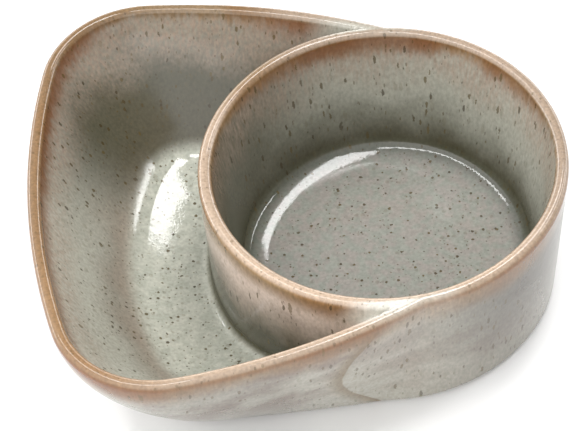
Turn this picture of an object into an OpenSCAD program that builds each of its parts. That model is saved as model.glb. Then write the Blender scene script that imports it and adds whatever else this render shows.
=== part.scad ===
// Soup and cracker bowl of hand-built stoneware: a round soup cup standing inside
// one end of a flared tray. Millimetres, +Z up, origin under the middle of the bowl,
// the cup towards +X and the tray towards -X.

/* [Overall] */
// Height from the table to the crest of the rim
bowl_h = 66; // [60:1:80]
// Thickness of the cup wall and the tray wall at the rim
wall_t = 5.5; // [4.5:0.5:7]
// Thickness of the cup floor and the tray floor
floor_t = 8; // [5:0.5:10]

/* [Cup] */
// Outside diameter of the cup at its rim
cup_d = 140; // [134:1:146]
// Outside diameter of the cup at its foot
cup_foot_d = 131; // [128:1:133]
// Thickness of the cup wall at the floor
cup_wall_foot_t = 11; // [8:0.5:13]
// Width of the dished coil between the cup wall and its floor
cup_coil_w = 17.5; // [10:0.5:22]
// Height of the dished coil against the cup wall
cup_coil_h = 3.5; // [2:0.5:6]

/* [Tray] */
// Width across the tray at its rim
tray_w = 191; // [180:1:204]
// Width across the tray at its foot
tray_foot_w = 131; // [128:1:136]
// Distance from the cup's axis to the end of the tray at its rim
tray_reach = 134.5; // [128:0.5:144]
// Distance from the cup's axis to the end of the tray at its foot
tray_foot_reach = 108; // [102:1:114]
// Radius of the two tray corners at the rim
tray_corner_r = 41; // [30:1:50]
// Radius of the two tray corners at the foot
tray_foot_corner_r = 35; // [28:1:42]
// Radius of the tray's end at the rim
tray_end_r = 280; // [200:10:400]
// Radius of the tray's end at the foot
tray_foot_end_r = 110; // [90:5:160]
// Radius of the tray's two sides at the rim
tray_side_r = 260; // [200:10:400]
// Radius of the tray's two sides at the foot
tray_foot_side_r = 900; // [600:50:1500]
// How strongly the tray wall bellies out below its rim, where 1 is a straight slope
tray_belly = 1.6; // [1.2:0.1:2]
// Thickness of the tray wall at the floor
tray_wall_foot_t = 18; // [13:0.5:19]
// Width of the dished coil between the tray wall and its floor
tray_coil_w = 16; // [8:1:18]
// Height of the dished coil against the tray wall
tray_coil_h = 6; // [4:0.5:8]
// Radius of the hollow curve between the tray's floor and the outside of the cup
skirt_coil_r = 6; // [4:1:7]

/* [Seams] */
// Angle round the cup, from its far end, where the tray wall meets it at the rim
seam_rim_angle = 83; // [80:1:88]
// Angle round the cup, from its far end, where the tray wall meets it at the foot
seam_foot_angle = 97; // [95:1:100]
// Length of the luted web in the wedge between tray wall and cup wall
seam_l = 15; // [8:1:20]
// How far the top of the web lies below the crest of the rim
seam_drop = 4; // [3:0.5:8]
// Gap that the slip fills round a web
slip_t = 0.1; // [0.05:0.05:0.2]

/* [Foot] */
// Height of the bare foot ring
foot_h = 1; // [1:0.5:3]
// Width of the bare foot ring
foot_w = 6; // [4:0.5:9]
// How far the foot ring is set in from the wall
foot_inset = 3; // [3:0.5:5]
// Rounding of the walls' lower outside edge
foot_edge_r = 2; // [1:0.5:3]

/* [Hidden] */
$fn = 96;

glaze_colour = "#a3a294";
rim_colour = "#a5825f";
floor_colour = "#9fa698";
clay_colour = "#c9b79c";

cup_r = cup_d / 2;
cup_foot_r = cup_foot_d / 2;
floor_z = foot_h + floor_t;
rim_r = wall_t / 2;
rim_z = bowl_h - rim_r;
// The origin is under the middle of the whole length, so the cup's axis lies off it
cup_x = (tray_reach - cup_r) / 2;
// Length by which the raw tray wall runs into the cup before it is coped
cope_l = 10;
// Least thickness at a coil's smoothed edge
coil_edge = 0.4;
// Least radius of the tray's corners along the toe of its coil
toe_corner_r = 1;

// Steps along half of the tray's outline, and up its wall
end_steps = 8;
corner_steps = 10;
side_steps = 9;
edge_steps = 5;
wall_steps = 9;
rim_steps = 7;
web_steps = 4;
// Steps across the end of a tray wall where it meets the cup
cap_steps = 6;

function blend(a, b, share) = a + (b - a) * share;
// Radii blend by their curvature, so a nearly straight stretch stays nearly straight
function blend_radius(a, b, share) = 1 / blend(1 / a, 1 / b, share);
function on_circle(centre, radius, angle) = centre + radius * [cos(angle), sin(angle)];
function heading(v) = atan2(v.y, v.x);
function steps(from, to, count) = [for (i = [0:count]) blend(from, to, i / count)];

// Outside radius of the cup at a height
function cup_radius(z) = blend(cup_foot_r, cup_r, (z - foot_h) / (rim_z - foot_h));
// Thickness of a wall at a height, the same all the way down beside the floor
function thickness(foot_t, z) = blend(foot_t, wall_t, max((z - floor_z) / (rim_z - floor_z), 0));
function tray_thickness(z) = thickness(tray_wall_foot_t, z);
// Inside radius of the cup at a height
function cup_inside(z) = cup_radius(z) - thickness(cup_wall_foot_t, z);
// Radius of a dish that leaves the floor level and rises to a height over a width
function dish_radius(w, h) = (w * w + h * h) / (2 * h);
// Share of the full flare that the tray wall has reached at a height
function flare(z) = 1 - pow(1 - min(max((z - foot_h) / (rim_z - foot_h), 0), 1), tray_belly);

// Arcs of the tray's back half outline at a height, seen from above with the cup's axis at 0,0.
// Each arc is [centre, radius, first angle, last angle], from the tray's end to the cup.
function tray_arcs(z) =
    let (share = flare(z),
         half_w = blend(tray_foot_w, tray_w, share) / 2,
         reach = blend(tray_foot_reach, tray_reach, share),
         corner = blend(tray_foot_corner_r, tray_corner_r, share),
         end = blend_radius(tray_foot_end_r, tray_end_r, share),
         side = blend_radius(tray_foot_side_r, tray_side_r, share),
         seam = on_circle([0, 0], cup_radius(min(z, rim_z)), blend(seam_foot_angle, seam_rim_angle, share)),
         end_centre = [end - reach, 0],
         end_turn = asin((half_w - corner) / (end - corner)),
         corner_centre = on_circle(end_centre, end - corner, 180 - end_turn),
         // The side arc touches the corner arc from outside it and passes through the seam
         to_seam = seam - corner_centre,
         gap = side - corner,
         turn = acos((side * side - gap * gap - to_seam * to_seam) / (2 * gap * norm(to_seam))),
         side_start = heading(to_seam) + turn,
         side_centre = on_circle(corner_centre, -gap, side_start))
    [[end_centre, end, 180, 180 - end_turn],
     [corner_centre, corner, 180 - end_turn, side_start],
     [side_centre, side, side_start, heading(seam - side_centre)]];

// Point where a side arc, moved in by inset, meets a circle round the cup's axis
function meeting(arc, inset, circle_r) =
    let (arc_r = arc[1] - inset,
         apart = norm(arc[0]),
         along = (circle_r * circle_r - arc_r * arc_r + apart * apart) / (2 * apart),
         across = sqrt(circle_r * circle_r - along * along),
         toward = arc[0] / apart)
    along * toward + across * [toward.y, -toward.x];

// Points along one arc, moved in from the outer surface by inset
function arc_points(arc, inset, count) =
    [for (angle = steps(arc[2], arc[3], count)) on_circle(arc[0], arc[1] - inset, angle)];

// Radius of the cup's outside, with the slip on it, that the end of a tray wall follows
function slip_radius(z) = cup_radius(min(z, rim_z)) + slip_t;

// Back half outline at a height. It stops at the cup, or runs on into it for coping.
function half_outline(z, inset, coped) =
    let (arcs = tray_arcs(z),
         side = arcs[2],
         last = coped ? side[3] - cope_l / side[1] * 180 / PI
                      : heading(meeting(side, inset, slip_radius(z)) - side[0]),
         end = arc_points(arcs[0], inset, end_steps),
         corner = arc_points(arcs[1], inset, corner_steps),
         run = arc_points([side[0], side[1], side[2], last], inset, side_steps))
    concat(end,
           [for (i = [1:corner_steps]) corner[i]],
           [for (i = [1:side_steps]) run[i]]);

// Whole outline from the front seam round the tray's end to the back seam
function tray_outline(z, inset, coped) =
    let (half = half_outline(z, inset, coped), last = len(half) - 1)
    concat([for (i = [last:-1:1]) [half[i].x, -half[i].y]], half);

// Point on the cup's outside, a share of the way from one point there to another
function on_cup(a, b, share) =
    let (z = blend(a.z, b.z, share),
         p = on_circle([0, 0], slip_radius(z), blend(heading(a), heading(b), share)))
    [p.x, p.y, z];

function lift(outline, z) = [for (p = outline) [p.x, p.y, z]];

// Two triangles of a four-cornered face
function quad(a, b, c, d) = [[a, b, c], [a, c, d]];

// Sweeps a closed section round the tray. Each section point is [height, inset]. The outer
// points run up and the inner points run down, as many of each, and facing each other.
module tray_sweep(outer, inner) {
    n = len(outer);
    under = [for (k = [1:cap_steps - 1]) blend(inner[n - 1], outer[0], k / cap_steps)];
    section = concat(outer, inner, under);
    rings = [for (s = section) lift(tray_outline(s[0], s[1], false), s[0])];
    stations = len(rings[0]);
    count = len(section);
    function at(j, i) = (j % count) * stations + i;
    sides = [for (j = [0:count - 1]) for (i = [0:stations - 2])
        each quad(at(j, i), at(j, i + 1), at(j + 1, i + 1), at(j + 1, i))];
    // Each end is closed by rungs that follow the cup from an outer point to the inner one
    function between(i) = [for (j = [1:n - 2]) for (k = [1:cap_steps - 1])
        on_cup(rings[j][i], rings[2 * n - 1 - j][i], k / cap_steps)];
    function rung(j, i, spare) =
        concat([at(j, i)],
               [for (k = [1:cap_steps - 1])
                   j == 0 ? at(count - k, i) : spare + (j - 1) * (cap_steps - 1) + k - 1],
               [at(2 * n - 1 - j, i)]);
    function cap(i, spare) =
        let (highest = rung(n - 2, i, spare))
        concat([for (j = [0:n - 3])
                   let (a = rung(j, i, spare), b = rung(j + 1, i, spare))
                   for (k = [0:cap_steps - 1]) each quad(a[k], b[k], b[k + 1], a[k + 1])],
               [for (k = [0:cap_steps - 1]) [highest[k], at(n - 1, i), highest[k + 1]]],
               [[highest[cap_steps], at(n - 1, i), at(n, i)]]);
    spare = count * stations;
    front = cap(0, spare);
    back = [for (f = cap(stations - 1, spare + (n - 2) * (cap_steps - 1))) [f[2], f[1], f[0]]];
    translate([cup_x, 0, 0])
        polyhedron(concat([for (r = rings) each r], between(0), between(stations - 1)),
                   concat(sides, front, back), convexity = 8);
}

// Closed block that fills the inside of the tray wall between the given heights
module tray_block(heights) {
    rings = [for (z = heights) lift(tray_outline(z, tray_thickness(z), true), z)];
    stations = len(rings[0]);
    top = len(heights) - 1;
    function at(j, i) = j * stations + i % stations;
    sides = [for (j = [0:top - 1]) for (i = [0:stations - 1])
        each quad(at(j, i), at(j, i + 1), at(j + 1, i + 1), at(j + 1, i))];
    half = (stations - 1) / 2;
    lower = concat([[half + 1, half, half - 1]],
                   [for (i = [0:half - 2]) each quad(i + 1, i, stations - 1 - i, stations - 2 - i)]);
    upper = [for (f = lower) [for (k = [2:-1:0]) f[k] + top * stations]];
    translate([cup_x, 0, 0])
        polyhedron([for (r = rings) each r], concat(sides, lower, upper), convexity = 4);
}

module around_cup() {
    translate([cup_x, 0, 0]) rotate_extrude() children();
}

// Everything inside the cup's outer surface, run past the foot and the rim
module cup_space(past = 5) {
    around_cup() polygon([
        [0, foot_h - past], [cup_radius(foot_h - past), foot_h - past],
        [cup_radius(bowl_h + past), bowl_h + past], [0, bowl_h + past]]);
}

// Heights of the inside of the tray wall beside the coil
coil_heights = steps(floor_z, floor_z + tray_coil_h, edge_steps - 1);
// How far in the toe of that coil lies, which the tray's corners limit
tray_toe = min(tray_wall_foot_t + tray_coil_w, tray_foot_corner_r - toe_corner_r);

module cup_wall() {
    foot_centre = [cup_radius(foot_h + foot_edge_r) - foot_edge_r, foot_h + foot_edge_r];
    color(rim_colour) around_cup() union() {
        // Straight tapered wall above the rounded lower edge
        polygon([
            [cup_inside(foot_h), foot_h], [foot_centre.x, foot_h],
            [foot_centre.x, foot_centre.y], [cup_radius(foot_centre.y), foot_centre.y],
            [cup_r, rim_z], [cup_inside(rim_z), rim_z], [cup_inside(floor_z), floor_z]]);
        translate(foot_centre) intersection() {
            circle(foot_edge_r);
            translate([0, -foot_edge_r]) square(foot_edge_r);
        }
        translate([cup_r - rim_r, rim_z]) intersection() {
            circle(rim_r);
            translate([-rim_r, 0]) square([wall_t, rim_r]);
        }
    }
}

module cup_floor() {
    color(floor_colour) around_cup() polygon([
        [0, foot_h], [cup_inside(foot_h), foot_h],
        [cup_inside(floor_z), floor_z], [0, floor_z]]);
}

module cup_coil() {
    top = floor_z + coil_edge + cup_coil_h;
    reach = cup_inside(top) - coil_edge - cup_coil_w;
    hollow_r = dish_radius(cup_coil_w, cup_coil_h);
    color(floor_colour) around_cup() difference() {
        polygon([
            [reach, floor_z], [cup_inside(floor_z), floor_z],
            [cup_inside(top), top], [reach, top]]);
        translate([reach, floor_z + coil_edge + hollow_r]) circle(hollow_r);
    }
}

module tray_wall() {
    lower_edge = [for (a = steps(0, 90, edge_steps))
        [foot_h + foot_edge_r * (1 - cos(a)), foot_edge_r * (1 - sin(a))]];
    outside = [for (z = steps(foot_h + foot_edge_r, rim_z, wall_steps)) [z, 0]];
    rim = [for (a = steps(0, 180, rim_steps)) [rim_z + rim_r * sin(a), rim_r * (1 - cos(a))]];
    inside = [for (z = steps(rim_z, floor_z + tray_coil_h, wall_steps)) [z, tray_thickness(z)]];
    beside_coil = [for (i = [edge_steps - 2:-1:0]) [coil_heights[i], tray_thickness(coil_heights[i])]];
    half_rim = (rim_steps - 1) / 2;
    color(glaze_colour) tray_sweep(
        concat(lower_edge,
               [for (i = [1:wall_steps]) outside[i]],
               [for (i = [1:half_rim]) rim[i]]),
        concat([for (i = [half_rim + 1:rim_steps - 1]) rim[i]],
               inside, beside_coil, [[foot_h, tray_wall_foot_t]]));
}

module tray_floor() {
    color(floor_colour) difference() {
        tray_block([foot_h, floor_z]);
        cup_space();
    }
}

module tray_coil() {
    against_wall = [for (z = coil_heights) [z, tray_thickness(z)]];
    reach = tray_toe - tray_thickness(floor_z + tray_coil_h) - coil_edge;
    hollow_r = dish_radius(reach, tray_coil_h);
    hollow = [for (out = steps(reach, 0, edge_steps - 1))
        [floor_z + hollow_r - sqrt(hollow_r * hollow_r - out * out), tray_toe - out]];
    color(floor_colour) tray_sweep(against_wall, hollow);
}

module skirt_coil() {
    top = floor_z + skirt_coil_r;
    reach = cup_radius(top) + skirt_coil_r;
    // It runs round the cup's foot until the toe of the tray coil comes in its way
    toe = meeting(tray_arcs(floor_z)[2], tray_toe, reach);
    first = heading(toe);
    color(floor_colour) translate([cup_x, 0, 0]) rotate([0, 0, first])
        rotate_extrude(angle = 2 * (180 - first)) difference() {
            polygon([
                [cup_radius(floor_z), floor_z], [reach, floor_z],
                [reach, top], [cup_radius(top), top]]);
            translate([reach + coil_edge, top + coil_edge]) circle(skirt_coil_r);
            translate([cup_radius(top) + coil_edge, top - coil_edge]) square(2 * skirt_coil_r);
        }
}

// Web between the tray wall and the cup wall, in slices that follow both
module seam_web() {
    heights = steps(floor_z + tray_coil_h, bowl_h - seam_drop, wall_steps);
    slices = [for (z = heights)
        let (side = tray_arcs(z)[2],
             tray_side_in = side[1] - tray_thickness(z) - slip_t,
             cup_side = cup_radius(z) + slip_t,
             tip = meeting(side, tray_thickness(z) + slip_t, cup_side),
             tray_tip = heading(tip - side[0]),
             cup_tip = heading(tip),
             tray_run = seam_l / tray_side_in * 180 / PI,
             cup_run = seam_l / cup_side * 180 / PI,
             on_tray = [for (i = [1:web_steps])
                 on_circle(side[0], tray_side_in, tray_tip + tray_run * i / web_steps)],
             on_cup = [for (i = [1:web_steps])
                 on_circle([0, 0], cup_side, cup_tip + cup_run * i / web_steps)])
        lift(concat([tip], on_tray, on_cup), z)];
    count = 2 * web_steps + 1;
    top = len(heights) - 1;
    loop = concat([0], [for (i = [1:web_steps]) i], [for (i = [2 * web_steps:-1:web_steps + 1]) i]);
    sides = [for (j = [0:top - 1]) for (i = [0:count - 1])
        let (a = loop[i], b = loop[(i + 1) % count])
        each quad(j * count + a, (j + 1) * count + a, (j + 1) * count + b, j * count + b)];
    lower = concat([[0, 1, web_steps + 1]],
                   [for (i = [1:web_steps - 1]) each quad(i, i + 1, web_steps + i + 1, web_steps + i)]);
    upper = [for (f = lower) [for (k = [2:-1:0]) f[k] + top * count]];
    translate([cup_x, 0, 0])
        polyhedron([for (s = slices) each s], concat(sides, lower, upper), convexity = 4);
}

module back_seam() {
    color(glaze_colour) seam_web();
}

module front_seam() {
    color(glaze_colour) mirror([0, 1, 0]) seam_web();
}

// Block under the whole bowl, set in from the outside of its walls
module foot_block(inset, h) {
    translate([cup_x, 0, 0]) {
        cylinder(r = cup_foot_r - inset, h = h);
        linear_extrude(h) polygon(tray_outline(foot_h, inset, true));
    }
}

module foot_ring() {
    color(clay_colour) difference() {
        foot_block(foot_inset, foot_h);
        translate([0, 0, -foot_h]) foot_block(foot_inset + foot_w, 3 * foot_h);
    }
}

cup_wall();
cup_floor();
cup_coil();
tray_wall();
tray_floor();
tray_coil();
skirt_coil();
front_seam();
back_seam();
foot_ring();
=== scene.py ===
"""Looks of the soup and cracker bowl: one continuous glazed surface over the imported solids."""
import math

import bpy
import numpy as np
from mathutils import Matrix, Vector


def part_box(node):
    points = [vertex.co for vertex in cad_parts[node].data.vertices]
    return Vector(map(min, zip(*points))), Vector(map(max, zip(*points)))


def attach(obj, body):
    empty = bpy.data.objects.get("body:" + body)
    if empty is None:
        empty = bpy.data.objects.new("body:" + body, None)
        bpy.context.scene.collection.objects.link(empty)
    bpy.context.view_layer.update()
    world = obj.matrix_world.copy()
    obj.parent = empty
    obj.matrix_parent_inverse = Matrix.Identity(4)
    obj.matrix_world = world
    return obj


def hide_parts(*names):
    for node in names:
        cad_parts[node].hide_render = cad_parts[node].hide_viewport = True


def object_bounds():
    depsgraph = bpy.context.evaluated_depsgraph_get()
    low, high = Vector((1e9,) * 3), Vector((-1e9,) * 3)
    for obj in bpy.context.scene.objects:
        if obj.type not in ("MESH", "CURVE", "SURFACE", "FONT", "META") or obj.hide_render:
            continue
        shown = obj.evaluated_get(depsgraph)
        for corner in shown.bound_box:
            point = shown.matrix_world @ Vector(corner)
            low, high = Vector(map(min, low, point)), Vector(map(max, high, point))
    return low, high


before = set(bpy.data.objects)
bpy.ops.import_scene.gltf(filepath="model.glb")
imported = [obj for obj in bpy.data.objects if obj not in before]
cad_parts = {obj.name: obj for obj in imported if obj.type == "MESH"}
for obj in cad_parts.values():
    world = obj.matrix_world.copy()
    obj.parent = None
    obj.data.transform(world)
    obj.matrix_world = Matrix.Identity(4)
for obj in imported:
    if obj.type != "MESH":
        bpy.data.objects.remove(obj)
cad_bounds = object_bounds()

MM = 0.001

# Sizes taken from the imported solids
CUP_LOW, CUP_HIGH = (np.array(corner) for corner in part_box("cup_wall"))
TRAY_LOW, TRAY_HIGH = (np.array(corner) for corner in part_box("tray_wall"))
CUP_X = (CUP_LOW[0] + CUP_HIGH[0]) / 2
CUP_R = (CUP_HIGH[0] - CUP_LOW[0]) / 2
BOWL_H = CUP_HIGH[2]
TRAY_W = TRAY_HIGH[1] - TRAY_LOW[1]
TRAY_REACH = CUP_X - TRAY_LOW[0]
FOOT_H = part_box("foot_ring")[1][2]
FLOOR_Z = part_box("cup_floor")[1][2]

# Sizes of the walls
WALL_T = 5.5 * MM
WALL_FOOT_T = 11 * MM
RIM_R = WALL_T / 2
RIM_Z = BOWL_H - RIM_R
CUP_FOOT_R = 65.5 * MM
FOOT_EDGE_R = 2 * MM

# Tray outline, at the rim and at the foot
TRAY_FOOT_W = 131 * MM
TRAY_FOOT_REACH = 108 * MM
CORNER_R = (35 * MM, 41 * MM)
END_R = (110 * MM, 280 * MM)
SIDE_R = (900 * MM, 260 * MM)
SEAM_ANGLE = (math.radians(97), math.radians(83))
TRAY_BELLY = 1.6

# Dished coils round the floors: radius of the dish, and how far it is set into its wall
CUP_DISH = (25 * MM, 12.4 * MM)
TRAY_DISH = (95 * MM, 58 * MM)
# Radius of the hollow between a dish and its wall: in the cup, along the tray's wall and along the skirt
EDGE_R = 2 * MM
TRAY_EDGE_R = 6 * MM
SKIRT_EDGE_R = 4 * MM
# Thickness of the tray wall at the floor, and radius of the cup's outside there within the tray
TRAY_FOOT_T = 18 * MM
SKIRT_FOOT_R = 69.2 * MM
# Radius of the slip that fills the seams, and how far below the crest it is full and where it ends
SEAM_FILL_R = 4.5 * MM
SEAM_DROP = 9 * MM
SEAM_TOP_DROP = 1.5 * MM

# Hand-made unevenness of the walls: its depth, and its waves as radians per metre by axis, and phase
WAVE_DEPTH = 0.3 * MM
WAVES = [(61, 35, 48, 0.6), (-43, 72, 31, 2.1), (88, -27, 95, 4.4)]
# Gap that keeps the crest just under the top of the solids
CREST_SLACK = 0.02 * MM
# Radius of a union that is as good as sharp
NEAR_ZERO = 0.01 * MM

# Surface grid: its spacing, the cells that it starts before the bowl, and its cells beyond the bowl's size
GRID = 1.2 * MM
GRID_LEAD = 2.3
GRID_EXTRA = 5
# Least squared slope that counts when a point moves onto the surface
LEAST_SLOPE = 0.2
# Thickness of the skin that stands for each piece
SKIN_T = 1.2 * MM

# A junction of two rims is full this near to the other wall, and shows this far in the tray and in the cup
JUNCTION_NEAR = 1 * MM
JUNCTION_REACH = (11 * MM, 6 * MM)
# Half the width of the change of colour between a wall and its floor
BED_EDGE = 3 * MM


def blend(pair, share):
    return pair[0] + (pair[1] - pair[0]) * share


def blend_radius(pair, share):
    return 1 / blend((1 / pair[0], 1 / pair[1]), share)


def wall_share(z):
    return np.clip((z - FOOT_H) / (RIM_Z - FOOT_H), 0, 1)


def cup_radius(z):
    return blend((CUP_FOOT_R, CUP_R), wall_share(z))


def above_floor(z):
    return np.clip((z - FLOOR_Z) / (RIM_Z - FLOOR_Z), 0, 1)


def wall_thickness(z):
    return blend((WALL_FOOT_T, WALL_T), above_floor(z))


def tray_thickness(z):
    return blend((TRAY_FOOT_T, WALL_T), above_floor(z))


def tray_inset(x, y, z):
    """Distance inward from the tray's outside, and x of the seam, at height z. x is from the cup's axis."""
    share = 1 - (1 - wall_share(z)) ** TRAY_BELLY
    half_w = blend((TRAY_FOOT_W, TRAY_W), share) / 2
    reach = blend((TRAY_FOOT_REACH, TRAY_REACH), share)
    corner = blend(CORNER_R, share)
    end = blend_radius(END_R, share)
    side = blend_radius(SIDE_R, share)
    angle = blend(SEAM_ANGLE, share)
    seam_x, seam_y = cup_radius(z) * np.cos(angle), cup_radius(z) * np.sin(angle)
    end_x = end - reach
    end_turn = np.arcsin((half_w - corner) / (end - corner))
    corner_x = end_x - (end - corner) * np.cos(end_turn)
    corner_y = (end - corner) * np.sin(end_turn)
    # The side arc touches the corner arc and passes through the seam
    gap = side - corner
    across_x, across_y = seam_x - corner_x, seam_y - corner_y
    apart = np.hypot(across_x, across_y)
    turn = np.arccos((side ** 2 - gap ** 2 - apart ** 2) / (2 * gap * apart))
    side_start = np.arctan2(across_y, across_x) + turn
    side_x = corner_x - gap * np.cos(side_start)
    side_y = corner_y - gap * np.sin(side_start)
    y = np.abs(y)
    by_end = end - np.hypot(x - end_x, y)
    by_side = side - np.hypot(x - side_x, y - side_y)
    from_x, from_y = x - corner_x, y - corner_y
    in_corner = ((np.cos(side_start) * from_y - np.sin(side_start) * from_x >= 0)
                 & (from_x * np.sin(end_turn) + from_y * np.cos(end_turn) >= 0))
    inset = np.where(in_corner, corner - np.hypot(from_x, from_y), np.minimum(by_end, by_side))
    return inset, seam_x


def rounded_wall(across, thick, z):
    """Distance to a wall with a round rim. across is measured inward from its outside."""
    below = np.abs(across - thick / 2) - thick / 2
    above = np.hypot(across - RIM_R, z - RIM_Z) - RIM_R
    return np.where(z > RIM_Z, above, below)


def round_union(a, b, radius):
    """Union of two shapes with a hollow of the given radius between them."""
    fill = np.hypot(np.maximum(radius - a, 0), np.maximum(radius - b, 0))
    return np.maximum(radius, np.minimum(a, b)) - fill


def smooth_step(low, high, value):
    share = np.clip((value - low) / (high - low), 0, 1)
    return share * share * (3 - 2 * share)


def wave(x, y, z):
    """Slow unevenness between 0 and 1, as left by the potter's hands."""
    total = sum(np.sin(a * x + b * y + c * z + phase) for a, b, c, phase in WAVES)
    return total / (2 * len(WAVES)) + 0.5


def dished(wall, floor, dish):
    """Distance to a floor that rises to the wall in a dish."""
    radius, setback = dish
    return round_union(wall + setback, floor, radius)


def measure(x, y, z):
    """Distances that describe a place near the bowl, keyed by name."""
    x = x - CUP_X
    r = np.hypot(x, y)
    inset, seam_x = tray_inset(x, y, z)
    middle = cup_radius(z) - wall_thickness(z) / 2
    cup = rounded_wall(cup_radius(z) - r, wall_thickness(z), z)
    tray_t = tray_thickness(z)
    tray = np.maximum(rounded_wall(inset, tray_t, z), np.maximum(middle - r, x - seam_x - WALL_T))
    in_cup = r < middle
    in_tray = ~in_cup & (inset > tray_t / 2) & (x < seam_x)
    region = np.where(x > seam_x, r - middle, np.minimum(r - middle, tray_t / 2 - inset))
    floor = np.maximum(z - FLOOR_Z, region)

    # Within the tray the cup stands nearly upright
    skirt_r = blend((SKIRT_FOOT_R, CUP_R), above_floor(z))
    skirt = np.where(in_tray, np.minimum(cup, np.maximum(r - skirt_r, z - RIM_Z)), cup)
    # The fill of the seams ends below the crest, where the two rims run into each other
    seam_fill = np.maximum(SEAM_FILL_R * smooth_step(SEAM_TOP_DROP, SEAM_DROP, BOWL_H - z), NEAR_ZERO)
    wall = round_union(skirt, tray, np.where(in_tray, seam_fill, NEAR_ZERO))
    tray_bed = np.where(in_tray, dished(tray, floor, TRAY_DISH), floor)
    bed = np.where(in_cup, dished(cup, floor, CUP_DISH), tray_bed)
    # The hollow along the tray's wall is wider than the one along the skirt
    toward_tray = np.clip(skirt / np.maximum(skirt + tray, NEAR_ZERO), 0, 1)
    tray_edge_r = blend((SKIRT_EDGE_R, TRAY_EDGE_R), toward_tray)
    edge_r = np.where(in_cup, EDGE_R, np.where(in_tray, tray_edge_r, NEAR_ZERO))
    whole = round_union(wall, bed, edge_r)

    under = FOOT_H - z
    inside_edge = np.hypot(np.maximum(whole + FOOT_EDGE_R, 0), np.maximum(under + FOOT_EDGE_R, 0))
    solid = np.minimum(-FOOT_EDGE_R, np.maximum(whole, under)) + inside_edge
    solid = np.maximum(solid + CREST_SLACK + WAVE_DEPTH * wave(x, y, z), z - BOWL_H + CREST_SLACK)
    return {"solid": solid, "cup": cup, "skirt": skirt, "tray": tray, "wall": wall, "bed": bed,
            "region": region, "in_cup": in_cup, "in_tray": in_tray}


def solid_field(points):
    return measure(*points.T)["solid"]


def slope(points, reach=0.1 * MM):
    """Gradient of the field at some points."""
    columns = []
    for axis in np.eye(3) * reach:
        columns.append((solid_field(points + axis) - solid_field(points - axis)) / (2 * reach))
    return np.stack(columns, axis=1)


def surface_net(low, high):
    """Vertices and outward quads of the bowl's surface on a regular grid."""
    counts = np.ceil((high - low) / GRID).astype(int) + GRID_EXTRA
    ticks = [low[i] + GRID * (np.arange(counts[i]) - GRID_LEAD) for i in range(3)]
    values = measure(*np.meshgrid(*ticks, indexing="ij", sparse=True))["solid"]
    cell_shape = np.array(values.shape) - 1

    def corner(array, offset):
        return array[tuple(slice(o, o + n) for o, n in zip(offset, cell_shape))]

    total = np.zeros((*cell_shape, 3))
    crossings = np.zeros(cell_shape)
    for axis in range(3):
        for other in ((0, 0), (0, 1), (1, 0), (1, 1)):
            start = np.insert(np.array(other), axis, 0)
            stop = np.insert(np.array(other), axis, 1)
            a, b = corner(values, start), corner(values, stop)
            cut = (a < 0) != (b < 0)
            share = np.where(cut, a / np.where(cut, a - b, 1), 0)
            for i in range(3):
                total[..., i] += np.where(cut, start[i] + (share if i == axis else 0), 0)
            crossings += cut
    used = crossings > 0
    number = np.full(cell_shape, -1)
    number[used] = np.arange(used.sum())
    place = np.argwhere(used) + total[used] / crossings[used][:, None]
    points = np.array([t[0] for t in ticks]) + GRID * place
    quads = []
    inside = values < 0
    for axis in range(3):
        shift = np.eye(3, dtype=int)[axis]
        p, q = [np.eye(3, dtype=int)[(axis + k) % 3] for k in (1, 2)]
        core = tuple(slice(1, n - 1) for n in values.shape)
        ahead = tuple(slice(1 + s, n - 1 + s) for s, n in zip(shift, values.shape))
        for sign in (True, False):
            spots = np.argwhere((inside[core] == sign) & (inside[ahead] != sign)) + 1
            around = [number[tuple((spots - move).T)] for move in (0 * p, p, p + q, q)]
            quads.append(np.stack(around if sign else around[::-1], axis=1))
    return points, np.concatenate(quads)


def settle(points, rounds=4):
    """Moves points onto the surface, and gives the outward normal at each."""
    for _ in range(rounds):
        g = slope(points)
        points = points - (solid_field(points) / np.maximum((g * g).sum(1), LEAST_SLOPE))[:, None] * g
    g = slope(points)
    return points, g / np.linalg.norm(g, axis=1)[:, None]


PIECES = {
    "cup_skin": ["cup_wall"],
    "cup_lining": ["cup_floor", "cup_coil"],
    "tray_skin": ["tray_wall"],
    "tray_lining": ["tray_floor", "tray_coil", "skirt_coil"],
    "front_web": ["front_seam"],
    "back_web": ["back_seam"],
    "underside": [],
}


def label(points):
    """Number of the piece, in the order of PIECES, that each place belongs to."""
    m = measure(*points.T)
    z = points[:, 2]
    lining = m["bed"] < m["wall"]
    web = (np.maximum(m["skirt"], m["tray"]) < SEAM_FILL_R) & m["in_tray"]
    choices = [z < FOOT_H + FOOT_EDGE_R / 2, m["in_cup"] & lining, m["in_tray"] & lining,
               web & (points[:, 1] < 0), web, m["cup"] < m["tray"]]
    names = ["underside", "cup_lining", "tray_lining", "front_web", "back_web", "cup_skin"]
    order = list(PIECES)
    return np.select(choices, [order.index(n) for n in names], order.index("tray_skin"))


def traits(points):
    """What the glaze goes by at each place, from 0 to 1, keyed by name."""
    m = measure(*points.T)
    other_wall = np.maximum(m["skirt"], m["tray"])
    on_skirt = m["in_tray"] & (m["skirt"] < m["tray"])
    return {"outside": smooth_step(-RIM_R, RIM_R, m["region"]),
            "bed": smooth_step(-BED_EDGE, BED_EDGE, m["wall"] - m["bed"]),
            "in_cup": m["in_cup"].astype(float),
            "on_skirt": on_skirt.astype(float),
            "junction": 1 - smooth_step(JUNCTION_NEAR, blend(JUNCTION_REACH, m["in_cup"]), other_wall)}


def add_object(name, data):
    thing = bpy.data.objects.new(name, data)
    bpy.context.collection.objects.link(thing)
    return thing


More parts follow.
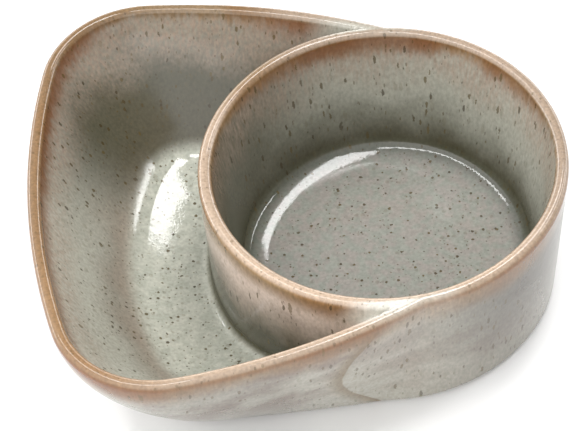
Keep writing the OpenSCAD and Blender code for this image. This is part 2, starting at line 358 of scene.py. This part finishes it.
def skin_mesh(name, points, normals, quads, trait_values):
    """Closed skin of SKIN_T under a patch of the surface."""
    used, flat = np.unique(quads, return_inverse=True)
    faces = flat.reshape(quads.shape)
    count = len(used)
    outer, normal = points[used], normals[used]
    edges = np.concatenate([faces[:, [k, (k + 1) % 4]] for k in range(4)])
    key = np.sort(edges, axis=1)
    _, first, uses = np.unique(key, axis=0, return_index=True, return_counts=True)
    border = edges[first[uses == 1]]
    strip = np.stack([border[:, 1], border[:, 0], border[:, 0] + count, border[:, 1] + count], axis=1)
    every_face = np.concatenate([faces, faces[:, ::-1] + count, strip])
    mesh = bpy.data.meshes.new(name)
    places = np.concatenate([outer, outer - SKIN_T * normal])
    mesh.from_pydata(places.tolist(), [], every_face.tolist())
    mesh.update()
    mesh.shade_smooth()
    mesh.normals_split_custom_set_from_vertices(np.concatenate([normal, -normal]).tolist())
    for trait, values in trait_values.items():
        mesh.attributes.new(trait, "FLOAT", "POINT").data.foreach_set("value", np.tile(values[used], 2))
    return add_object(name, mesh)


def build_pieces():
    low, high = (np.array(corner) for corner in cad_bounds)
    points, quads = surface_net(low, high)
    points, normals = settle(points)
    labels = label(points[quads].mean(axis=1))
    trait_values = traits(points)
    pieces = {}
    for k, (name, nodes) in enumerate(PIECES.items()):
        piece = skin_mesh(name, points, normals, quads[labels == k], trait_values)
        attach(piece, "root")
        if nodes:
            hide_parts(*nodes)
        pieces[name] = piece
    return pieces


# Colours of the glaze and of the bare clay, as in plain light; some also carry painted light or shade, as
# noted where they are used
CELADON = "adafa2"
CELADON_PALE = "babbae"
# The cup's floor colours are darker than the tray's, as painted shade of the deeper cup
SHADED_CUP_GREEN = "8d8f86"
SHADED_CUP_ROSE = "938e87"
DISH_GREEN = "484c40"
SAGE = "949488"
SAGE_PAINTED_LIGHT = "b8b7aa"
OLIVE_GLAZE_AND_SHADE = "46432f"
MAUVE = "9a8676"
OUTSIDE_PAINTED_SHADE = "473d2e"
DIP_BROWN = "6e5a3c"
TRAY_FOOT = "998e80"
SKIRT_PALE = "cdbaae"
BLUSH = "ab9682"
TAN = "8f7657"
ORANGE = "876540"
RUST = "74492c"
ROSE_GREY = "7d7167"
GREY_PALE = "a09d92"
POOL_PALE = "d4d2c9"
POOL_GREY = "a9a79c"
SPECK = "33260f"
SMUDGE = "5c5032"
SPECK_OLIVE = "5a4b25"
CLAY = "c3ad8e"
CLAY_DARK = "a08867"
FLOOR_WHITE = ("f6f6f6", "fafafa")

# A pair of limits names the place where something starts, then the place where it is full

# Marks of the glaze: size of the noise, how it is stretched, and its detail
NOISES = {
    "runs": (2.2 * MM, (1, 1, 0.16), 4.0),
    "hairs": (1.1 * MM, (1, 1, 0.1), 3.0),
    "mottle": (4 * MM, (1, 1, 1), 3.0),
    "clouds": (22 * MM, (1, 1, 1), 3.0),
    "patches": (45 * MM, (1, 1, 1), 1.0),
    "brushed": (10 * MM, (0.35, 0.35, 1), 3.0),
    "grain": (1.2 * MM, (1, 1, 0.6), 4.0),
    "gloss": (3 * MM, (1, 1, 1), 3.0),
    "ripple": (9 * MM, (1, 1, 1), 2.0),
    "fine_ripple": (0.9 * MM, (1, 1, 1), 2.0),
}
TRAITS = ("outside", "bed", "in_cup", "on_skirt", "junction")
# Part of a noise that carries nearly all its values
NOISE_MIDDLE = (0.3, 0.7)
GRAIN_SHADES = (0.86, 1.14)
HAIR_SHADES = (0.86, 1.1)

# Inside: the floors' mottle, the dark dish of the cup (pooled glaze and painted shade), and the bands of the
# walls by height
MOTTLE_EDGES = (0.38, 0.62)
DISH_RISE = 2.5 * MM
DISH_SHADE = 0.8
SAGE_Z = (10 * MM, 40 * MM)
MAUVE_Z = (34 * MM, 58 * MM)
SKIRT_Z = (24 * MM, 56 * MM)
STREAKS = (0.15, 0.85)
# How far the bands wander up and down with the clouds
BAND_WANDER = 24 * MM
# Zones of painted light and shade on the inside walls: limits along one axis, limits in height, and strength
NEAR_TRAY_PAINTED_LIGHT = ((65 * MM, -30 * MM), (16 * MM, 36 * MM), 0.65)
RIGHT_CUP_PAINTED_LIGHT = ((60 * MM, 95 * MM), (20 * MM, 40 * MM), 0.4)
FAR_CUP_PAINTED_LIGHT = ((20 * MM, 60 * MM), (28 * MM, 44 * MM), 0.35)
FAR_TRAY_PAINTED_SHADE = ((10 * MM, 60 * MM), (64 * MM, 40 * MM), 0.42)
FAR_TRAY_PAINTED_DARK = ((15 * MM, 60 * MM), (64 * MM, 36 * MM), 0.8)
# Painted shade on the cup's left inside wall: limits along x, and strength
LEFT_CUP_X = (25 * MM, -25 * MM)
LEFT_CUP_PAINTED_SHADE = 0.8

# Outside: pale clouds and foot, and painted shade at the left and right
CLOUD_EDGES = (0.75, 1.2)
PALE_FOOT_Z = (30 * MM, 4 * MM)
PALE_FOOT = 0.6
LEFT_SHADE_X = (5 * MM, -25 * MM)
LEFT_PAINTED_SHADE = 0.2
RIGHT_SHADE_X = (25 * MM, 80 * MM)
RIGHT_SHADE_Z = (5 * MM, 50 * MM)
RIGHT_SHADE_LEAST = 0.35
RIGHT_PAINTED_SHADE = 0.6
RIGHT_PAINTED_DIM = 0.4
# Edge of the second dip: where it lies, at which height it turns, how it curves and how far it wanders
DIP_X = 8.2 * MM
DIP_MIDDLE_Z = 32 * MM
DIP_CURVE = 17.0
DIP_WANDER = 4 * MM
# Brown before the edge, on the front alone, and pale past it, by distance from the edge
DIP_BROWN_FROM = (-8 * MM, 0.0)
DIP_BROWN_PAST = (0.0, 0.8 * MM)
DIP_FRONT_Y = (-30 * MM, -45 * MM)
DIP_BROWN_SHARE = 0.7
DIP_PALE_PAST = (0.0, 6 * MM)
DIP_PALE_SHARE = 0.35

# Rims: length of the runs and reach of the thin glaze, on the inside and on an open side
RUN_LENGTH = (7 * MM, 2 * MM)
THIN_REACH = (6 * MM, 18 * MM)
THIN_LEAST = 1.5 * MM
THIN_EDGES = (1.4, 0.2)
# Zones along the rims
TRAY_END_X = (-40 * MM, -85 * MM)
FAR_RIM_CUP_Y = (0.0, 45 * MM)
FAR_RIM_CUP_WIDTH = 0.6
FAR_RIM_TRAY_X = (10 * MM, -20 * MM)
FAR_RIM_TRAY_END_X = (-88 * MM, -60 * MM)
FAR_RIM_TRAY_Y = (20 * MM, 60 * MM)
# Orange at the ends and in patches, blush on the crest, and how much less of it there is at the tray's end
ORANGE_SHARE = 0.8
ORANGE_PATCHES = (0.5, 0.62)
CREST_DEPTH = (2.4 * MM, 0.4 * MM)
CREST_LOSS = 0.85
# Painted shade darkens the rims at the back, at the right and on the outside, and painted light brightens the
# front's crest
DIM_Y = (20 * MM, 70 * MM)
DIM_X = (55 * MM, 95 * MM)
TOP_DEPTH = (5 * MM, 2 * MM)
RIM_PAINTED_SHADE = 0.24
CREST_LIGHT_Y = (-10 * MM, -50 * MM)
CREST_PAINTED_LIGHT = 0.18
# Rust below the crest: at the back in patches, at the tray's end, and in a line on the outside
RUST_Y = (0.0, 60 * MM)
RUST_LEAST = 0.2
RUST_PATCHES = (0.35, 0.5)
RUST_START = (1 * MM, 3 * MM)
RUST_STOP = (13 * MM, 4 * MM)
RUST_FAR_LOSS = 0.85
RUST_SHARE = 0.8
RUST_LINE_START = (1 * MM, 2 * MM)
RUST_LINE_STOP = (5 * MM, 2.5 * MM)
RUST_LINE = 0.4
# Pale wedges where the rims meet
WEDGE_LOSS = 0.9
WEDGE_CLEARS = 0.85
WEDGE_DEPTH = (16 * MM, 7 * MM)
WEDGE_SHARE = 0.95
GREY_POOL_Y = (0.0, 40 * MM)

# Iron specks: spacing, largest radius, share of the cells that have one, and strength
SMUDGES = (2.3 * MM, 1.0 * MM, 0.6, 0.24)
SPECK_LAYERS = [(2.4 * MM, 0.74 * MM, 0.85, 0.85), (1.5 * MM, 0.4 * MM, 0.7, 0.6),
                (7 * MM, 1.1 * MM, 0.4, 0.75)]
SPECK_STRETCH = (1, 1, 0.3)
# Size and depth of the unevenness of a speck's edge, and width of the edge, as shares of its radius
SPECK_RAGGED = (1.4, 1.1)
SPECK_EDGE = 0.25
# Specks are fewer on the outside, on the walls and on the rims
FEWER_OUTSIDE = 0.15
FEWER_WALL = 0.15
FEWER_RIM_DEPTH = (-8 * MM, 6 * MM)

# Gloss of the glaze: floors and rims shine more than the walls between them
GLAZE_IOR = 1.6
GLOSS = (0.03, 0.08)
SATIN = 0.14
SATIN_DEPTH = (4 * MM, 14 * MM)
FINE_RIPPLE = 0.25
GLAZE_BUMP = (0.35, 0.22 * MM)

# Bare clay
CLAY_GRAIN = 0.6 * MM
CLAY_EDGES = (0.35, 0.7)
CLAY_ROUGHNESS = 0.85
CLAY_BUMP = (0.5, 0.2 * MM)


def colour(code):
    """Linear colour of a hexadecimal screen colour."""
    parts = [int(code[i:i + 2], 16) / 255 for i in (0, 2, 4)]
    return tuple(c / 12.92 if c <= 0.04045 else ((c + 0.055) / 1.055) ** 2.4 for c in parts) + (1,)


class Nodes:
    """Short ways to add shader nodes to one node tree."""

    def __init__(self, tree, coordinates="Object"):
        self.tree = tree
        self.position = self.add("ShaderNodeTexCoord").outputs[coordinates]
        self.axes = self.add("ShaderNodeSeparateXYZ", {0: self.position}).outputs

    def put(self, socket, value):
        if isinstance(value, bpy.types.NodeSocket):
            self.tree.links.new(value, socket)
        else:
            socket.default_value = value

    def add(self, kind, inputs=None, **settings):
        node = self.tree.nodes.new(kind)
        for key, value in settings.items():
            setattr(node, key, value)
        for key, value in (inputs or {}).items():
            self.put(node.inputs[key], value)
        return node

    def math(self, operation, a, b=0.0):
        return self.add("ShaderNodeMath", {0: a, 1: b}, operation=operation).outputs[0]

    def vector(self, operation, a, inputs):
        return self.add("ShaderNodeVectorMath", {0: a, **inputs}, operation=operation).outputs[0]

    def plus(self, a, b):
        return self.math("ADD", a, b)

    def minus(self, a, b):
        return self.math("SUBTRACT", a, b)

    def most(self, a, b):
        return self.math("MAXIMUM", a, b)

    def times(self, *values):
        result = values[0]
        for value in values[1:]:
            result = self.math("MULTIPLY", result, value)
        return result

    def invert(self, value, strength=1.0):
        """What is left of 1 when the value is taken away with the given strength."""
        return self.minus(1.0, self.times(value, strength))

    def between(self, pair, share):
        return self.plus(pair[0], self.times(share, pair[1] - pair[0]))

    def step(self, value, low, high):
        """Smooth step from 0 at low to 1 at high."""
        inputs = {"Value": value, "From Min": min(low, high), "From Max": max(low, high)}
        share = self.add("ShaderNodeMapRange", inputs, interpolation_type="SMOOTHSTEP").outputs[0]
        return share if low < high else self.invert(share)

    def zone(self, area, along, height, limits):
        """Strength of a zone of painted light or shade within an area, limited along one axis and in height.
        """
        axis_limits, height_limits, strength = limits
        return self.times(area, self.step(along, *axis_limits), self.step(height, *height_limits), strength)

    def mix(self, share, a, b):
        node = self.add("ShaderNodeMix", data_type="RGBA")
        for socket, value in zip((node.inputs[0], node.inputs[6], node.inputs[7]), (share, a, b)):
            self.put(socket, colour(value) if isinstance(value, str) else value)
        return node.outputs[2]

    def scale(self, shade, factor):
        return self.vector("SCALE", shade, {"Scale": factor})

    def spread(self, value, low, high):
        """Spreads the middle of a noise from low to high."""
        start, stop = NOISE_MIDDLE
        inputs = {"Value": value, "From Min": start, "From Max": stop, "To Min": low, "To Max": high}
        return self.add("ShaderNodeMapRange", inputs).outputs[0]

    def trait(self, name):
        return self.add("ShaderNodeAttribute", attribute_name=name).outputs["Fac"]

    def place(self, size, stretch=(1, 1, 1)):
        return self.vector("MULTIPLY", self.position, {1: tuple(k / size for k in stretch)})

    def noise(self, size, stretch=(1, 1, 1), detail=3.0):
        inputs = {"Vector": self.place(size, stretch), "Scale": 1.0, "Detail": detail}
        return self.add("ShaderNodeTexNoise", inputs).outputs["Fac"]

    def specks(self, spacing, radius, keep):
        """Scattered specks: how dark each is, and a random value for each. keep is the share that shows."""
        size, depth = SPECK_RAGGED
        ragged = self.add("ShaderNodeTexNoise", {"Vector": self.place(size * radius), "Scale": 1.0})
        shift = self.vector("MULTIPLY", ragged.outputs["Color"], {1: (depth * radius / spacing,) * 3})
        spot = self.vector("ADD", self.place(spacing, SPECK_STRETCH), {1: shift})
        cells = self.add("ShaderNodeTexVoronoi", {"Vector": spot, "Scale": 1.0}, feature="F1")
        pick = self.add("ShaderNodeSeparateColor", {0: cells.outputs["Color"]}).outputs
        reach = self.times(self.step(pick[0], 1 - keep, 1.0), radius / spacing)
        inward = self.minus(reach, cells.outputs["Distance"])
        return self.step(inward, 0.0, SPECK_EDGE * radius / spacing), pick[1]

    def bump(self, height, strength, distance):
        inputs = {"Height": height, "Strength": strength, "Distance": distance}
        return self.add("ShaderNodeBump", inputs).outputs[0]


def new_material(name):
    """A material, the helper for its nodes, and its shader's inputs."""
    material = bpy.data.materials.new(name)
    material.use_nodes = True
    return material, Nodes(material.node_tree), material.node_tree.nodes["Principled BSDF"].inputs


def inside_colour(n, marks):
    """Celadon floors, and walls dark at the foot, sage at mid height and streaked mauve below the rim, with
    painted light and shade in zones.
    """
    height, in_cup = marks["height"], marks["in_cup"]
    in_tray = n.invert(in_cup)
    x, y, z = n.axes
    patchy = n.step(marks["mottle"], *MOTTLE_EDGES)
    # The cup's floor is coloured darker than the tray's: painted shade
    floor = n.mix(in_cup, n.mix(patchy, CELADON, CELADON_PALE), n.mix(patchy, SHADED_CUP_GREEN, SHADED_CUP_ROSE))
    # The cup's dish darkens to green, partly pooled glaze and partly painted shade
    dish = n.step(z, FLOOR_Z, FLOOR_Z + DISH_RISE)
    floor = n.mix(n.times(dish, in_cup, DISH_SHADE), floor, DISH_GREEN)

    # The walls' feet: mauve glaze in the tray; in the cup olive, partly glaze gathered there and partly
    # painted shade
    side = n.mix(n.step(height, *SAGE_Z), n.mix(in_cup, TRAY_FOOT, OLIVE_GLAZE_AND_SHADE), SAGE)
    # Painted light on the near tray wall and on the cup's right and far walls
    for area, along, limits in ((in_tray, y, NEAR_TRAY_PAINTED_LIGHT), (in_cup, x, RIGHT_CUP_PAINTED_LIGHT),
                                (in_cup, y, FAR_CUP_PAINTED_LIGHT)):
        side = n.mix(n.zone(area, along, height, limits), side, SAGE_PAINTED_LIGHT)
    # Painted shade on the far tray wall and on the cup's left wall
    side = n.scale(side, n.invert(n.zone(in_tray, y, height, FAR_TRAY_PAINTED_SHADE)))
    left_cup_shade = n.times(in_cup, n.step(x, *LEFT_CUP_X), LEFT_CUP_PAINTED_SHADE)
    side = n.mix(n.most(n.zone(in_tray, y, height, FAR_TRAY_PAINTED_DARK), left_cup_shade), side, OLIVE_GLAZE_AND_SHADE)
    streaks = n.spread(marks["hairs"], *STREAKS)
    side = n.mix(n.times(n.step(height, *MAUVE_Z), streaks), side, MAUVE)
    # The skirt darkens toward its foot, partly dark glaze and partly painted shade
    skirt = n.mix(n.step(height, *SKIRT_Z), OLIVE_GLAZE_AND_SHADE, SKIRT_PALE)
    side = n.mix(marks["on_skirt"], side, skirt)
    return n.mix(marks["wall"], floor, side)


def outside_colour(n, marks):
    """Rose grey with soft brushed clouds, paler at the foot, the edge of the second dip on the front, and
    painted shade at the left and right.
    """
    x, y, z = n.axes
    cloudy = n.step(n.plus(marks["brushed"], marks["clouds"]), *CLOUD_EDGES)
    result = n.mix(cloudy, ROSE_GREY, GREY_PALE)
    result = n.mix(n.times(n.step(z, *PALE_FOOT_Z), PALE_FOOT), result, GREY_PALE)
    line_x = n.times(n.math("POWER", n.minus(z, DIP_MIDDLE_Z), 2.0), DIP_CURVE)
    past_line = n.minus(n.minus(x, DIP_X), line_x)
    past_line = n.plus(past_line, n.times(n.minus(marks["clouds"], 0.5), DIP_WANDER))
    brown = n.times(n.step(past_line, *DIP_BROWN_FROM), n.invert(n.step(past_line, *DIP_BROWN_PAST)),
                    n.step(y, *DIP_FRONT_Y), DIP_BROWN_SHARE)
    result = n.mix(brown, result, DIP_BROWN)
    result = n.mix(n.times(n.step(past_line, *DIP_PALE_PAST), DIP_PALE_SHARE), result, GREY_PALE)
    # Painted shade on the left
    result = n.scale(result, n.invert(n.step(x, *LEFT_SHADE_X), LEFT_PAINTED_SHADE))
    # The painted shade on the right is deepest below the rim
    right = n.times(n.step(x, *RIGHT_SHADE_X), n.between((RIGHT_SHADE_LEAST, 1.0), n.step(z, *RIGHT_SHADE_Z)))
    result = n.mix(n.times(right, RIGHT_PAINTED_SHADE), result, OUTSIDE_PAINTED_SHADE)
    return n.scale(result, n.invert(right, RIGHT_PAINTED_DIM))


def rim_colour(n, marks, body):
    """Tan, orange and rust where the glaze runs thin over the rims, and pale wedges where the rims meet."""
    below, patches, outside = marks["below_rim"], marks["patches"], marks["outside"]
    x, y, _ = n.axes
    end = n.step(x, *TRAY_END_X)
    far_cup = n.times(marks["in_cup"], n.step(y, *FAR_RIM_CUP_Y))
    far_tray = n.times(n.step(x, *FAR_RIM_TRAY_X), n.step(x, *FAR_RIM_TRAY_END_X), n.step(y, *FAR_RIM_TRAY_Y))
    wedge = n.times(marks["junction"], n.invert(outside, WEDGE_LOSS), n.invert(marks["in_cup"], WEDGE_LOSS))
    clear = n.invert(wedge, WEDGE_CLEARS)

    # The thin band ends in runs on the inside, and fades out softly on the outside and the skirt
    open_side = n.most(outside, marks["on_skirt"])
    fringe = n.plus(below, n.times(n.minus(marks["runs"], 0.5), n.between(RUN_LENGTH, open_side)))
    wide_side = n.most(open_side, n.times(far_cup, FAR_RIM_CUP_WIDTH))
    reach = n.plus(n.times(patches, n.between(THIN_REACH, wide_side)), THIN_LEAST)
    thin = n.step(n.math("DIVIDE", fringe, reach), *THIN_EDGES)
    orange = n.most(n.times(n.most(end, far_cup), ORANGE_SHARE), n.step(patches, *ORANGE_PATCHES))
    warm = n.mix(orange, TAN, ORANGE)
    crest = n.times(n.step(below, *CREST_DEPTH), n.invert(end, CREST_LOSS), n.invert(far_tray))
    warm = n.scale(n.mix(crest, warm, BLUSH), n.spread(marks["hairs"], *HAIR_SHADES))
    # Painted shade at the back, at the right and on the outside, and painted light on the front's crest
    near_top = n.step(below, *TOP_DEPTH)
    rim_shade = n.most(n.times(n.most(n.step(y, *DIM_Y), n.step(x, *DIM_X)), near_top), outside)
    warm = n.scale(warm, n.invert(rim_shade, RIM_PAINTED_SHADE))
    warm = n.scale(warm, n.plus(1.0, n.times(n.step(y, *CREST_LIGHT_Y), near_top, CREST_PAINTED_LIGHT)))
    body = n.mix(n.times(thin, clear), body, warm)

    back = n.times(n.between((RUST_LEAST, 1.0), n.step(y, *RUST_Y)), n.step(patches, *RUST_PATCHES))
    under_crest = n.times(n.step(below, *RUST_START), n.step(fringe, *RUST_STOP))
    rust = n.times(under_crest, n.most(back, end), clear, n.invert(far_tray, RUST_FAR_LOSS), RUST_SHARE)
    body = n.mix(rust, body, RUST)
    line = n.times(outside, n.step(below, *RUST_LINE_START), n.step(below, *RUST_LINE_STOP), clear, RUST_LINE)
    body = n.mix(line, body, RUST)
    pool = n.mix(n.step(y, *GREY_POOL_Y), POOL_PALE, POOL_GREY)
    return n.mix(n.times(wedge, n.step(below, *WEDGE_DEPTH), WEDGE_SHARE), body, pool)


def add_specks(n, marks, body):
    """Iron specks, round on the floors and drawn out down the walls, over fainter smudges."""
    fewer = n.times(n.invert(marks["outside"], FEWER_OUTSIDE), n.invert(marks["wall"], FEWER_WALL),
                    n.step(marks["below_rim"], *FEWER_RIM_DEPTH))
    *shape, strength = SMUDGES
    dark, _ = n.specks(*shape)
    body = n.mix(n.times(dark, strength, fewer), body, SMUDGE)
    for *shape, strength in SPECK_LAYERS:
        dark, pick = n.specks(*shape)
        body = n.mix(n.times(dark, strength, fewer), body, n.mix(pick, SPECK, SPECK_OLIVE))
    return body


def glaze_material():
    material, n, shader = new_material("glaze")
    marks = {name: n.trait(name) for name in TRAITS}
    marks.update({name: n.noise(*noise) for name, noise in NOISES.items()})
    marks["below_rim"] = n.minus(BOWL_H, n.axes[2])
    marks["wall"] = n.invert(marks["bed"])
    marks["height"] = n.plus(n.axes[2], n.times(n.minus(marks["clouds"], 0.5), BAND_WANDER))
    body = n.mix(marks["outside"], inside_colour(n, marks), outside_colour(n, marks))
    body = rim_colour(n, marks, body)
    body = n.scale(body, n.spread(marks["grain"], *GRAIN_SHADES))
    n.put(shader["Base Color"], add_specks(n, marks, body))
    shader["IOR"].default_value = GLAZE_IOR
    satin = n.times(marks["wall"], n.step(marks["below_rim"], *SATIN_DEPTH), SATIN)
    n.put(shader["Roughness"], n.plus(n.spread(marks["gloss"], *GLOSS), satin))
    ripple = n.plus(marks["ripple"], n.times(marks["fine_ripple"], FINE_RIPPLE))
    n.put(shader["Normal"], n.bump(ripple, *GLAZE_BUMP))
    return material


def clay_material():
    material, n, shader = new_material("bare_clay")
    grain = n.noise(CLAY_GRAIN, detail=4.0)
    n.put(shader["Base Color"], n.mix(n.step(grain, *CLAY_EDGES), CLAY, CLAY_DARK))
    shader["Roughness"].default_value = CLAY_ROUGHNESS
    n.put(shader["Normal"], n.bump(grain, *CLAY_BUMP))
    return material


pieces = build_pieces()
glaze = glaze_material()
for piece in pieces.values():
    piece.data.materials.append(glaze)
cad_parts["foot_ring"].material_slots[0].material = clay_material()

# Camera fitted to the photograph
CAMERA_LENS = 160.02
CAMERA_SENSOR = 36
CAMERA_DISTANCE = 1.0
CAMERA_AZIMUTH = math.radians(-0.6095)
CAMERA_ELEVATION = math.radians(50.189)
CAMERA_ROLL = math.radians(-5.494)
CAMERA_TARGET = Vector((-4.19 * MM, 7.46 * MM, 29.67 * MM))

# Floor of the studio
FLOOR_HALF = 3.0
FLOOR_MOTTLE = 60 * MM
FLOOR_ROUGHNESS = 0.9

# Light of the white room: its side, its level from the far to the near side, and where it turns
ROOM_SIDE = (-0.75, -0.65, 0.0)
ROOM_LEVEL = (0.15, 2.0)
ROOM_TURN = (-0.6, 0.9)
# Bright strip low at the back, by direction
STRIP_LEVEL = 5.5
STRIP_LOW = (0.1, 0.14)
STRIP_HIGH = (0.32, 0.26)
STRIP_BACK = (0.1, 0.4)

# Soft boxes overhead: middle and heading seen from above, width and length, and brightness
PANEL_Z = 1.2
PANELS = {
    "main_box": ((0.35, 0.45), math.radians(22), (0.27, 1.0), 10),
    "right_strip": ((1.37, 0.73), math.radians(33), (0.24, 1.2), 9),
    "left_strip": ((-0.62, 0.28), math.radians(-16.7), (0.14, 0.84), 10),
    "top_strip": ((-0.27, -0.15), math.radians(90), (0.14, 0.56), 10),
}


def add_camera():
    data = bpy.data.cameras.new("camera")
    data.lens = CAMERA_LENS
    data.sensor_width = CAMERA_SENSOR
    camera = add_object("camera", data)
    level = math.cos(CAMERA_ELEVATION)
    right = Vector((math.cos(CAMERA_AZIMUTH), math.sin(CAMERA_AZIMUTH), 0))
    back = Vector((right.y * level, -right.x * level, math.sin(CAMERA_ELEVATION)))
    up = back.cross(right)
    rolled_right = math.cos(CAMERA_ROLL) * right + math.sin(CAMERA_ROLL) * up
    rolled_up = back.cross(rolled_right)
    camera.matrix_world = (Matrix.Translation(CAMERA_TARGET + back * CAMERA_DISTANCE)
                           @ Matrix((rolled_right, rolled_up, back)).transposed().to_4x4())
    bpy.context.scene.camera = camera


def add_floor():
    mesh = bpy.data.meshes.new("floor")
    corners = [(x * FLOOR_HALF, y * FLOOR_HALF, 0) for x, y in ((-1, -1), (1, -1), (1, 1), (-1, 1))]
    mesh.from_pydata(corners, [], [(0, 1, 2, 3)])
    material, n, shader = new_material("floor")
    n.put(shader["Base Color"], n.mix(n.noise(FLOOR_MOTTLE), *FLOOR_WHITE))
    shader["Roughness"].default_value = FLOOR_ROUGHNESS
    mesh.materials.append(material)
    floor = add_object("floor", mesh)


def add_panel(name, middle, heading, size, glow):
    """Soft box overhead, facing down."""
    data = bpy.data.lights.new(name, "AREA")
    data.shape = "RECTANGLE"
    data.size, data.size_y = size
    data.energy = glow * math.pi * size[0] * size[1]
    light = add_object(name, data)
    light.location = (*middle, PANEL_Z)
    light.rotation_euler = (0, 0, -heading)


def add_world():
    """White background, room light that is stronger from one side, and a bright strip low at the back."""
    world = bpy.data.worlds.new("studio")
    bpy.context.scene.world = world
    world.use_nodes = True
    n = Nodes(world.node_tree, "Generated")
    side = Vector(ROOM_SIDE).normalized()
    toward = n.add("ShaderNodeVectorMath", {0: n.position, 1: side}, operation="DOT_PRODUCT").outputs["Value"]
    room = n.add("ShaderNodeMapRange", {"Value": toward, "From Min": ROOM_TURN[0], "From Max": ROOM_TURN[1],
                                        "To Min": ROOM_LEVEL[0], "To Max": ROOM_LEVEL[1]}).outputs[0]
    _, y, z = n.axes
    strip = n.times(n.step(z, *STRIP_LOW), n.step(z, *STRIP_HIGH), n.step(y, *STRIP_BACK), STRIP_LEVEL)
    seen = n.add("ShaderNodeLightPath").outputs["Is Camera Ray"]
    level = n.add("ShaderNodeMix", {0: seen, 2: n.plus(room, strip), 3: 1.0})
    background = world.node_tree.nodes["Background"].inputs
    n.put(background["Strength"], level.outputs[0])
    background["Color"].default_value = (1, 1, 1, 1)


add_camera()
add_floor()
add_world()
for panel, settings in PANELS.items():
    add_panel(panel, *settings)
bpy.context.scene.view_settings.view_transform = "Standard"
